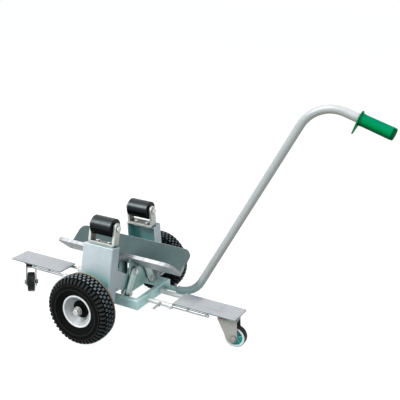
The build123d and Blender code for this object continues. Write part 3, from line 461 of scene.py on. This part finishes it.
finishes = {
    TOWER_ZINC: ["near_tower", "far_tower"],
    FRAME_ZINC: [
        "near_side_rail", "far_side_rail", "front_end_rail", "rear_end_rail", "axle_tube", "guide_post",
        "handle_socket", "guide_sleeve", "pivot_lugs", "tray_brackets",
    ],
    PLATE_ZINC: ["front_plate", "rear_plate"],
    LEVER_ZINC: ["near_levers", "far_levers"],
    TRAY_ZINC: ["tray_plate"],
    GUIDE_STEEL: ["front_guides", "rear_guides", "handle_plug"],
    YOKE_ZINC: ["near_yoke", "far_yoke"],
    FORK_ZINC: [
        "front_fork", "rear_fork", "front_caster_head", "rear_caster_head",
        "front_clamp_screw", "rear_clamp_screw", "handle_lock",
    ],
    BOLT_ZINC: [
        "pivot_bolts", "return_spring", "near_tower_bolts", "far_tower_bolts",
        "near_roller_axle", "far_roller_axle", "near_roller_core", "far_roller_core",
    ],
    NUT_ZINC: ["axle_shaft", "axle_nuts", "front_head_bolts", "rear_head_bolts"],
    ROD_STEEL: ["front_rods", "rear_rods"],
    TUBE_STEEL: ["handle_tube"],
    TYRE: ["near_tyre", "far_tyre"],
    RIM_PAINT: ["near_rim", "far_rim"],
    HUB_BLACK_AND_SHADE: ["near_hub", "far_hub"],
    SLATE: ["tray_lining"],
    ROLLER_RUBBER: ["near_roller", "far_roller"],
    CASTER_RUBBER: ["front_caster_tyre", "rear_caster_tyre"],
    CASTER_CENTRE: ["front_caster_core", "rear_caster_core"],
    RED: ["front_seal", "rear_seal"],
    GREEN: ["handle_grip"],
}
for finish, names in finishes.items():
    for name in names:
        slots = nodes[name].data.materials
        for index in range(len(slots)):
            slots[index] = finish.material
        if not slots:
            slots.append(finish.material)


# Pieces modelled here

def add_piece(name, shape, finishes_used, body, slot, *stands_for):
    """Puts a finished mesh into the scene as a piece that rides on a body."""
    bmesh.ops.recalc_face_normals(shape, faces=shape.faces)
    mesh = bpy.data.meshes.new(name)
    shape.to_mesh(mesh)
    shape.free()
    for used in finishes_used:
        mesh.materials.append(used.material)
    piece = bpy.data.objects.new(name, mesh)
    bpy.context.scene.collection.objects.link(piece)
    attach(piece, body)
    if stands_for:
        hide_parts(*stands_for)
    return piece


def axis_place(origin, across, along):
    """Frame at a point with local x across and local z along an axis."""
    along = Vector(along).normalized()
    across = Vector(across)
    up = along.cross(across)
    turn = Matrix((across, up, along)).transposed().to_4x4()
    return Matrix.Translation(origin) @ turn


def spin(shape, profile, place, steps, bands=None, closed=False):
    """Turns a profile of (radius, along) points about the z axis of place; bands number the finishes."""
    rings = []
    for radius, along in profile:
        ring = []
        for step in range(steps):
            turn = tau * step / steps
            point = Vector((radius * cos(turn), radius * sin(turn), along))
            ring.append(shape.verts.new(place @ point))
        rings.append(ring)
    if closed:
        rings.append(rings[0])
    for band in range(len(rings) - 1):
        first, second = rings[band], rings[band + 1]
        for step in range(steps):
            after = (step + 1) % steps
            face = shape.faces.new((first[step], first[after], second[after], second[step]))
            face.smooth = True
            if bands:
                face.material_index = bands[band]


def mirrored(half):
    """A profile and its mirror image across the middle, as one closed line."""
    return half + [(radius, -along) for radius, along in reversed(half)]


def mirrored_bands(half):
    """Material numbers for a mirrored profile, which has a band across the middle at both its ends."""
    return half + [0] + half[::-1] + [0]


def wheel_place(side):
    """Frame of a main wheel: local z runs along the axle, away from the dolly."""
    return axis_place((AXLE_X, side * WHEEL_Y, WHEEL_R), (1, 0, 0), (0, side, 0))


# Finishes of a tyre, and their numbers on its faces
TYRE_FINISHES = [TYRE, TAN_RING, TREAD_TOP, TAN_LINE, SHOULDER]
ON_WALL, ON_RING, ON_KNOB, ON_LINE, ON_SHOULDER = range(len(TYRE_FINISHES))
# Half of the tread's outline, as distance across and radius
TREAD_LINE = [
    (0.0, 0.1300), (0.0090, 0.1298), (0.0180, 0.1289), (0.0255, 0.1268), (0.0325, 0.1234),
    (0.0390, 0.1172), (0.0422, 0.1075),
]
# Rows of knobs: start and end as shares of that outline, half width and offset as shares of the pitch, finish
TREAD_ROWS = [
    (0.035, 0.250, 0.32, 0.0, ON_KNOB),
    (0.320, 0.495, 0.31, 0.5, ON_KNOB),
    (0.560, 1.0, 0.28, 0.0, ON_SHOULDER),
]
KNOBS = 46
KNOB_CUTS = 4
# Layers of a knob from its root to its top: depth below the top, share of its width, share cut off each end
KNOB_LAYERS = [(0.0060, 1.0, 0.0), (0.0013, 0.90, 0.03), (0.0, 0.76, 0.07)]
SLOPE_REACH = 0.05


def between(stations, t):
    """Point at a share of the way along a line of (across, radius) stations."""
    just_short = 0.9999
    spot = min(t, just_short) * (len(stations) - 1)
    index = int(spot)
    first, second = stations[index], stations[index + 1]
    return Vector(first).lerp(Vector(second), spot - index)


def tread_block(shape, place, angle, half_angle, stations, top_finish):
    """One rubber block of the tread, from its root in the carcass to its worn top."""
    rows = KNOB_CUTS
    layers = []
    for sunk, narrow, short in KNOB_LAYERS:
        grid = []
        for row in range(rows + 1):
            t = short + (1 - 2 * short) * row / rows
            point = between(stations, t)
            ahead, behind = min(t + SLOPE_REACH, 1.0), max(t - SLOPE_REACH, 0.0)
            slope = between(stations, ahead) - between(stations, behind)
            outward = Vector((-slope.y, slope.x)).normalized()
            if outward.y < 0:
                outward = -outward
            across, radius = point - outward * sunk
            line = []
            for column in (-1, 0, 1):
                turn = angle + column * half_angle * narrow
                corner = Vector((radius * cos(turn), radius * sin(turn), across))
                line.append(shape.verts.new(place @ corner))
            grid.append(line)
        layers.append(grid)
    top = layers[-1]
    for row in range(rows):
        for column in range(2):
            here, after = top[row], top[row + 1]
            corners = (here[column], here[column + 1], after[column + 1], after[column])
            shape.faces.new(corners).material_index = top_finish
    for low, high, finish in ((layers[0], layers[1], ON_WALL), (layers[1], layers[2], top_finish)):
        for row in range(rows):
            for column, face_turn in ((0, 1), (2, -1)):
                corners = (low[row][column], high[row][column], high[row + 1][column], low[row + 1][column])
                shape.faces.new(corners[::face_turn]).material_index = finish
        for row in (0, rows):
            for column in range(2):
                corners = (low[row][column], low[row][column + 1], high[row][column + 1], high[row][column])
                shape.faces.new(corners).material_index = finish


def build_tyre(word, side, line):
    """Pneumatic tyre with rows of knobs, bars on its shoulders and tan lines; one has a line on its tread."""
    shape = bmesh.new()
    place = wheel_place(side)
    wall = [
        (0.0520, 0.0255), (0.0600, 0.0262), (0.0636, 0.0300), (0.0668, 0.0328), (0.0688, 0.0324),
        (0.0706, 0.0344), (0.0800, 0.0396), (0.0860, 0.0414), (0.0868, 0.0426), (0.0876, 0.0426),
        (0.0884, 0.0416), (0.0950, 0.0422), (0.1016, 0.0420), (0.1022, 0.0414), (0.1026, 0.0426),
        (0.1037, 0.0425), (0.1041, 0.0408), (0.1080, 0.0386), (0.1130, 0.0356),
    ]
    crown = [(0.1180, 0.0310), (0.1212, 0.0220), (0.1226, 0.0110), (0.1232, 0.0)]
    half = wall + crown
    profile = half + [(radius, -along) for radius, along in reversed(half[:-1])]
    ridge, tan_ring = 8, 14
    bands = [ON_WALL] * (len(profile) - 1)
    for band, finish in ((ridge, ON_KNOB), (tan_ring, ON_RING)):
        bands[band] = bands[-1 - band] = finish
    spin(shape, profile, place, steps=144, bands=bands)
    if line:
        strip = [(0.1190, -0.0262), (0.1273, -0.0264), (0.1269, -0.0277), (0.1190, -0.0279)]
        spin(shape, strip, place, steps=144, bands=[ON_LINE] * 3)
    pitch, cuts = tau / KNOBS, 5
    for low, high, width, phase, top_finish in TREAD_ROWS:
        for hand, stagger in ((-1, 0.0), (1, 0.5)):
            stations = [between(TREAD_LINE, low + (high - low) * cut / cuts) for cut in range(cuts + 1)]
            stations = [(hand * across, radius) for across, radius in stations]
            for knob in range(KNOBS):
                turn = pitch * (knob + phase + stagger)
                tread_block(shape, place, turn, pitch * width, stations, top_finish)
    add_piece(f"{word}_tyre_tread", shape, TYRE_FINISHES, f"{word}_wheel", "tyre_rubber", f"{word}_tyre")


def build_wheel_centre(word, side):
    """Dished rim with a rolled flange, and the hub with its black disc, whose black also stands in as painted
    shade in the deep recess.
    """
    place = wheel_place(side)
    rim = [
        (0.0330, 0.0038), (0.0352, 0.0044), (0.0378, 0.0072), (0.0440, 0.0158), (0.0505, 0.0246),
        (0.0528, 0.0276), (0.0546, 0.0298), (0.0566, 0.0312), (0.0590, 0.0316), (0.0610, 0.0306),
        (0.0616, 0.0288), (0.0608, 0.0270), (0.0590, 0.0262), (0.0512, 0.0258), (0.0505, 0.0120),
    ]
    shape = bmesh.new()
    bands = mirrored_bands([0] * 6 + [1] * 5 + [0] * 3)
    spin(shape, mirrored(rim), place, steps=96, bands=bands, closed=True)
    wheel = f"{word}_wheel"
    add_piece(f"{word}_rim_dish", shape, [RIM_PAINT, RIM_EDGE], wheel, "rim_paint", f"{word}_rim")
    disc = [(0.0331, 0.0039), (0.0210, 0.0040), (0.0186, 0.0052), (0.0174, 0.0076)]
    outer = [
        (0.0170, 0.0100), (0.0170, 0.0222), (0.0162, 0.0238), (0.0150, 0.0240), (0.0143, 0.0232),
        (0.0140, 0.0214), (0.0101, 0.0212),
    ]
    inner = [
        (0.0101, -0.0379), (0.0160, -0.0380), (0.0170, -0.0370), (0.0170, -0.0080), (0.0190, -0.0050),
        (0.0331, -0.0039),
    ]
    bands = [0] * 5 + [1] * 3 + [0] * 3 + [1] * 3 + [0] * 3
    shape = bmesh.new()
    spin(shape, disc + outer + inner, place, steps=72, bands=bands, closed=True)
    add_piece(f"{word}_hub_turned", shape, [HUB_BLACK_AND_SHADE, NUT_ZINC], wheel, "hub_steel", f"{word}_hub")


def build_caster_wheel(word, kingpin_x, swivel):
    """Caster wheel: ribbed black tread with pale sides on a teal centre."""
    trail = Vector((cos(radians(swivel)), sin(radians(swivel)), 0.0))
    axle = Vector((trail.y, -trail.x, 0.0))
    origin = Vector((AXLE_X + kingpin_x, 0.0, CASTER_R)) + trail * CASTER_TRAIL
    place = axis_place(origin, trail, axle)
    tread = [
        (0.0325, 0.0120), (0.0328, 0.0134), (0.0350, 0.0140), (0.0378, 0.0138), (0.0392, 0.0128),
        (0.0399, 0.0110), (0.0400, 0.0068), (0.0390, 0.0062), (0.0390, 0.0052), (0.0400, 0.0046),
        (0.0400, 0.0012), (0.0391, 0.0006),
    ]
    shape = bmesh.new()
    bands = mirrored_bands([1] * 3 + [0] * 8)
    spin(shape, mirrored(tread), place, steps=72, bands=bands, closed=True)
    wheel = f"{word}_caster_wheel"
    used = [CASTER_RUBBER, CASTER_SIDE]
    add_piece(f"{word}_caster_tread", shape, used, wheel, "black_rubber", f"{word}_caster_tyre")
    centre = [
        (0.0051, 0.0158), (0.0086, 0.0160), (0.0099, 0.0150), (0.0103, 0.0060), (0.0122, 0.0038),
        (0.0262, 0.0036), (0.0282, 0.0056), (0.0294, 0.0126), (0.0304, 0.0138), (0.0326, 0.0138),
        (0.0330, 0.0126), (0.0330, 0.0020),
    ]
    shape = bmesh.new()
    bands = mirrored_bands([1] * 3 + [0] * 5 + [1] * 2 + [0])
    spin(shape, mirrored(centre), place, steps=72, bands=bands, closed=True)
    ribs, rib_phase = 6, 0.3
    for rib in range(ribs):
        turn = tau * (rib + rib_phase) / ribs
        side_step = Vector((-sin(turn), cos(turn), 0.0))
        outward = Vector((cos(turn), sin(turn), 0.0))
        ends = []
        for radius, half, height in ((0.0102, 0.0019, 0.0120), (0.0292, 0.0014, 0.0100)):
            corners = [(-half, -height), (half, -height), (half, height), (-half, height)]
            ends.append([
                shape.verts.new(place @ (outward * radius + side_step * across + Vector((0.0, 0.0, along))))
                for across, along in corners
            ])
        for index in range(4):
            after = (index + 1) % 4
            shape.faces.new((ends[0][index], ends[0][after], ends[1][after], ends[1][index]))
    used = [CASTER_CENTRE, CASTER_SIDE]
    add_piece(f"{word}_caster_centre", shape, used, wheel, "zinc_steel", f"{word}_caster_core")


def build_grip():
    """Grip with a capped end and a thin guard that runs out to a point."""
    end = Vector((AXLE_X + GRIP_X, HANDLE_Y, HANDLE_Z + HANDLE_RISE - GRIP_DROP))
    place = axis_place(end, (0, 1, 0), (GRIP_RUN, 0.0, -GRIP_DROP))
    body = [
        (0.0150, -0.1165), (0.0150, -0.1140), (0.0228, -0.1138), (0.0216, -0.1118), (0.0210, -0.1080),
        (0.0204, -0.1000), (0.0205, -0.0700), (0.0208, -0.0350), (0.0211, -0.0100), (0.0214, -0.0065),
        (0.0212, -0.0050), (0.0203, -0.0044), (0.0204, 0.0012), (0.0197, 0.0036), (0.0168, 0.0052),
        (0.0090, 0.0057), (0.0, 0.0058),
    ]
    shape = bmesh.new()
    # The last bands, round the end, take the darker green as painted shade
    spin(shape, body, place, steps=64, bands=[0] * 11 + [1] * 5)
    bmesh.ops.remove_doubles(shape, verts=shape.verts, dist=0.000001)
    reach, big, small, guard_lean = 0.050, 0.028, 0.005, 29.0
    tip_turn = -pi / 2 - radians(guard_lean)
    lean = acos((big - small) / reach)
    round_steps, tip_steps = 48, 12
    layers = []
    for inset, along in ((0.0014, -0.1180), (0.0003, -0.1174), (0.0003, -0.1142), (0.0014, -0.1136)):
        ring = []
        for step in range(round_steps + 1):
            turn = tip_turn + lean + (tau - 2 * lean) * step / round_steps
            ring.append(Vector((cos(turn), sin(turn))) * (big - inset))
        for step in range(tip_steps + 1):
            turn = tip_turn - lean + 2 * lean * step / tip_steps
            centre = Vector((cos(tip_turn), sin(tip_turn))) * reach
            ring.append(centre + Vector((cos(turn), sin(turn))) * (small - inset))
        layers.append([shape.verts.new(place @ Vector((point.x, point.y, along))) for point in ring])
    count = len(layers[0])
    for low, high in zip(layers, layers[1:]):
        for index in range(count):
            after = (index + 1) % count
            shape.faces.new((low[index], low[after], high[after], high[index])).smooth = True
    shape.faces.new(layers[0])
    shape.faces.new(layers[-1])
    add_piece("grip_moulded", shape, [GREEN, SHADED_GRIP_END], "handle", "green_plastic", "handle_grip")


def build_washers():
    """Plain washers under the bolt heads of the levers."""
    ring = [
        (0.0060, 0.0), (0.0125, 0.0), (0.0130, 0.0005), (0.0130, 0.0016), (0.0125, 0.0021), (0.0060, 0.0021),
    ]
    for word, side in (("near", -1), ("far", 1)):
        joined = ((f"{word}_rocker", TRAY_BOLT, "tray_bolt"), ("chassis", PIVOT_BOLT, "pivot"))
        for body, (reach, y, z), label in joined:
            shape = bmesh.new()
            for end in (-1, 1):
                place = axis_place((AXLE_X + end * reach, side * y, z), (0, 1, 0), (end, 0, 0))
                spin(shape, ring, place, steps=32, closed=True)
            add_piece(f"{word}_{label}_washers", shape, [BOLT_ZINC], body, "zinc_steel")


def weld_ring(shape, place, radius, bead):
    """Rippled bead of weld round a tube."""
    steps, corners, ripples, ripple_size = 60, 6, 14, 0.18
    rings = []
    for step in range(steps):
        turn = tau * step / steps
        size = bead * (1.0 + ripple_size * sin(turn * ripples))
        ring = []
        for corner in range(corners):
            angle = tau * corner / corners
            out = radius + size * cos(angle)
            point = Vector((out * cos(turn), out * sin(turn), size * sin(angle)))
            ring.append(shape.verts.new(place @ point))
        rings.append(ring)
    for step in range(steps):
        first, second = rings[step], rings[(step + 1) % steps]
        for corner in range(corners):
            after = (corner + 1) % corners
            shape.faces.new((first[corner], first[after], second[after], second[corner])).smooth = True


def build_welds():
    """Beads of weld where the tubes meet the frame."""
    shape = bmesh.new()
    for end in (-1, 1):
        for y in (-ROD_Y, ROD_Y):
            guide = axis_place((AXLE_X + end * RAIL_END, y, ROD_Z), (0, 1, 0), (end, 0, 0))
            weld_ring(shape, guide, GUIDE_BEAD_R, THIN_BEAD)
    socket = axis_place((AXLE_X + RAIL_END, HANDLE_Y, HANDLE_Z), (0, 1, 0), (1, 0, 0))
    weld_ring(shape, socket, SOCKET_BEAD_R, THIN_BEAD)
    for side in (-1, 1):
        axle_tube = axis_place((AXLE_X, side * RAIL_SIDE, WHEEL_R), (1, 0, 0), (0, side, 0))
        weld_ring(shape, axle_tube, AXLE_BEAD_R, THICK_BEAD)
    add_piece("weld_beads", shape, [FRAME_ZINC], "chassis", "galvanised")


def build_spring():
    """Coil spring round the guide post, built at one length with a mesh of its own; the real spring shortens
    as the tray sinks onto it.
    """
    shape = bmesh.new()
    steps, corners = 32, 10
    rings = []
    for step in range(SPRING_TURNS * steps + 1):
        turn = tau * step / steps
        outward = Vector((cos(turn), sin(turn), 0.0))
        height = SPRING_WIRE + (SPRING_HEIGHT - 2 * SPRING_WIRE) * step / (SPRING_TURNS * steps)
        middle = Vector((AXLE_X, 0.0, SPRING_FOOT + height)) + outward * SPRING_R
        ring = []
        for corner in range(corners):
            angle = tau * corner / corners
            spoke = outward * cos(angle) + Vector((0.0, 0.0, sin(angle)))
            ring.append(shape.verts.new(middle + spoke * SPRING_WIRE))
        rings.append(ring)
    for first, second in zip(rings, rings[1:]):
        for corner in range(corners):
            after = (corner + 1) % corners
            shape.faces.new((first[corner], first[after], second[after], second[corner])).smooth = True
    shape.faces.new(rings[0])
    shape.faces.new(rings[-1])
    spring = add_piece("return_spring_coil", shape, [BOLT_ZINC], "chassis", "zinc_steel", "return_spring")
    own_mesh(spring)


for word, side in (("near", -1), ("far", 1)):
    build_tyre(word, side, line=word == "near")
    build_wheel_centre(word, side)
build_caster_wheel("front", FRONT_KINGPIN, FRONT_SWIVEL)
build_caster_wheel("rear", REAR_KINGPIN, REAR_SWIVEL)
build_grip()
build_washers()
build_welds()
build_spring()


# Floor, light and camera

DOLLY_MIDDLE = Vector((-0.15, 0.0, 0.25))
FLOOR_SIZE = 30.0
FLOOR_SEEN = (0.30, 0.30, 0.30, 1.0)
FLOOR_BOUNCE = (0.42, 0.44, 0.44, 1.0)
FLOOR_GLOW = 0.92
FILL_COLOUR = (0.90, 0.99, 1.0, 1.0)
FILL_STRENGTH = 0.26
LAMP_COLOUR = (1.0, 0.98, 0.96)
CAMERA_PLACE = (AXLE_X + 1.38236, -2.08084, 1.28073)
CAMERA_SENSOR = 36.0
CAMERA_LENS = 62.513


def seen_rays(tree):
    """1 for rays that show a surface directly: camera, mirror and glass rays."""
    path = tree.nodes.new("ShaderNodeLightPath")
    total = path.outputs["Is Camera Ray"]
    for kind in ("Is Glossy Ray", "Is Transmission Ray"):
        larger = tree.nodes.new("ShaderNodeMath")
        larger.operation = "MAXIMUM"
        tree.links.new(total, larger.inputs[0])
        tree.links.new(path.outputs[kind], larger.inputs[1])
        total = larger.outputs[0]
    return total


def build_floor():
    """Pale studio floor that stays white to the camera and keeps the dolly's shadow."""
    shape = bmesh.new()
    bmesh.ops.create_grid(shape, x_segments=1, y_segments=1, size=FLOOR_SIZE)
    mesh = bpy.data.meshes.new("floor")
    shape.to_mesh(mesh)
    shape.free()
    floor = bpy.data.objects.new("floor", mesh)
    bpy.context.scene.collection.objects.link(floor)
    material = bpy.data.materials.new("studio floor")
    material.use_nodes = True
    tree = material.node_tree
    tree.nodes.clear()
    output = tree.nodes.new("ShaderNodeOutputMaterial")
    shaded = tree.nodes.new("ShaderNodeBsdfDiffuse")
    shaded.inputs["Color"].default_value = FLOOR_SEEN
    bounce = tree.nodes.new("ShaderNodeBsdfDiffuse")
    bounce.inputs["Color"].default_value = FLOOR_BOUNCE
    glow = tree.nodes.new("ShaderNodeEmission")
    glow.inputs["Strength"].default_value = FLOOR_GLOW
    both = tree.nodes.new("ShaderNodeAddShader")
    tree.links.new(shaded.outputs[0], both.inputs[0])
    tree.links.new(glow.outputs[0], both.inputs[1])
    seen = tree.nodes.new("ShaderNodeMixShader")
    tree.links.new(seen_rays(tree), seen.inputs[0])
    tree.links.new(bounce.outputs[0], seen.inputs[1])
    tree.links.new(both.outputs[0], seen.inputs[2])
    tree.links.new(seen.outputs[0], output.inputs["Surface"])
    mesh.materials.append(material)


def build_world():
    """Even, slightly cool surrounding light behind a white background."""
    world = bpy.data.worlds.new("studio")
    bpy.context.scene.world = world
    world.use_nodes = True
    tree = world.node_tree
    tree.nodes.clear()
    output = tree.nodes.new("ShaderNodeOutputWorld")
    fill = tree.nodes.new("ShaderNodeBackground")
    fill.inputs["Color"].default_value = FILL_COLOUR
    fill.inputs["Strength"].default_value = FILL_STRENGTH
    white = tree.nodes.new("ShaderNodeBackground")
    white.inputs["Color"].default_value = (1.0, 1.0, 1.0, 1.0)
    white.inputs["Strength"].default_value = 1.0
    seen = tree.nodes.new("ShaderNodeMixShader")
    tree.links.new(seen_rays(tree), seen.inputs[0])
    tree.links.new(fill.outputs[0], seen.inputs[1])
    tree.links.new(white.outputs[0], seen.inputs[2])
    tree.links.new(seen.outputs[0], output.inputs["Surface"])


def add_lamp(name, place, width, height, power):
    """Soft rectangular lamp aimed at the middle of the dolly."""
    lamp = bpy.data.lights.new(name, "AREA")
    lamp.shape = "RECTANGLE"
    lamp.size = width
    lamp.size_y = height
    lamp.energy = power
    lamp.color = LAMP_COLOUR
    held = bpy.data.objects.new(name, lamp)
    bpy.context.scene.collection.objects.link(held)
    held.location = place
    held.rotation_mode = "QUATERNION"
    held.rotation_quaternion = (DOLLY_MIDDLE - Vector(place)).to_track_quat("-Z", "Y")


def build_camera():
    """Camera at the photo's place and angle."""
    right = Vector((0.88392671, 0.46577362, 0.04157532))
    up = Vector((-0.17793532, 0.25278994, 0.95101854))
    back = Vector((0.43244953, -0.84802841, 0.30632536))
    lens = bpy.data.cameras.new("camera")
    lens.sensor_width = CAMERA_SENSOR
    lens.lens = CAMERA_LENS
    camera = bpy.data.objects.new("camera", lens)
    bpy.context.scene.collection.objects.link(camera)
    turn = Matrix((right, up, back)).transposed().to_4x4()
    camera.matrix_world = Matrix.Translation(CAMERA_PLACE) @ turn
    bpy.context.scene.camera = camera


build_floor()
build_world()
add_lamp("key", place=(-2.2, -2.8, 3.8), width=1.0, height=3.0, power=235.0)
add_lamp("front", place=(0.3, -4.0, 2.8), width=2.4, height=2.4, power=30.0)
add_lamp("fill", place=(2.8, -1.6, 2.6), width=2.4, height=2.4, power=50.0)
build_camera()
bpy.context.scene.view_settings.view_transform = "Standard"
